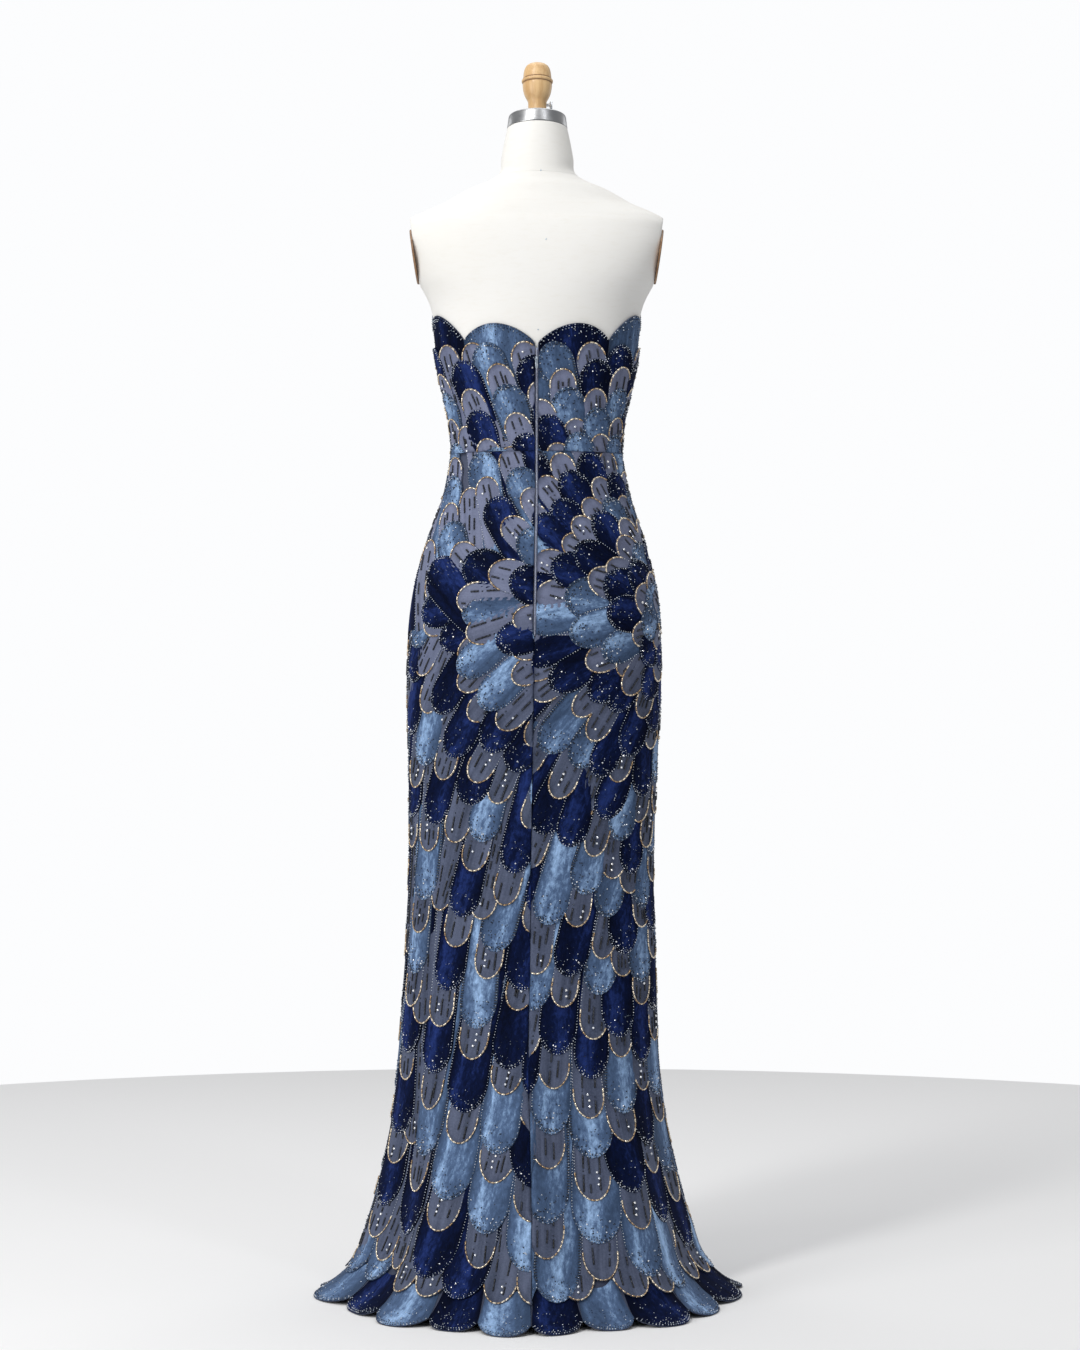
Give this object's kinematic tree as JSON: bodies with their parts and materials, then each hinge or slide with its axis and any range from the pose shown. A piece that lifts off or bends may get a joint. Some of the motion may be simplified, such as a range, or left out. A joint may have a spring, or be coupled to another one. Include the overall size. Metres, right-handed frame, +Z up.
{
  "type": "strapless mermaid evening gown on a limbless dress form",
  "caption": "Strapless mermaid gown with scalloped top and hem, zipped up the back, worn by a limbless dress form on a post and round base.",
  "frame": {"origin": "on the floor, in the middle of the round base's underside, under the post", "axes": "+Z up, -Y the back of the gown where it zips, +Y its front, +X the wearer's right"},
  "size_m": [0.629, 0.5862, 1.8119],
  "materials": {
    "beaded_cloth": "velvet and sheer mesh petals edged with small beads",
    "zip_tape": "woven tape with a fine coil",
    "zip_metal": "lacquered",
    "canvas": "plain woven, matte",
    "arm_plate": "brown, satin",
    "steel_cap": "brushed round the neck",
    "turned_wood": "lacquered, turned",
    "screw_metal": "plated",
    "stand_steel": "black, satin"
  },
  "bodies": {
    "gown_on_form": {"bodice_front": "beaded_cloth", "bodice_back_left": "beaded_cloth", "bodice_back_right": "beaded_cloth", "skirt_front": "beaded_cloth", "skirt_back_left": "beaded_cloth", "skirt_back_right": "beaded_cloth", "zip_chain": "zip_tape", "zip_slider": "zip_metal", "form_body": "canvas", "form_arm_plate_left": "arm_plate", "form_arm_plate_right": "arm_plate", "form_neck_cap": "steel_cap", "form_knob": "turned_wood", "form_post": "stand_steel", "form_base": "stand_steel"},
    "zip_pull": {"zip_pull": "zip_metal"},
    "thumb_screw": {"form_thumb_screw": "screw_metal"}
  },
  "joints": [
    {"name": "pull_hinge", "type": "hinge", "parent": "gown_on_form", "child": "zip_pull", "pos_m": [0, -0.09903, 1.36096], "axis": [-1, 0, 0], "range_deg": [0, 155]},
    {"name": "screw_turn", "type": "hinge", "parent": "gown_on_form", "child": "thumb_screw", "pos_m": [0.0076, 0.02596, 1.74763], "axis": [1, 0, 0], "continuous": true}
  ]
}
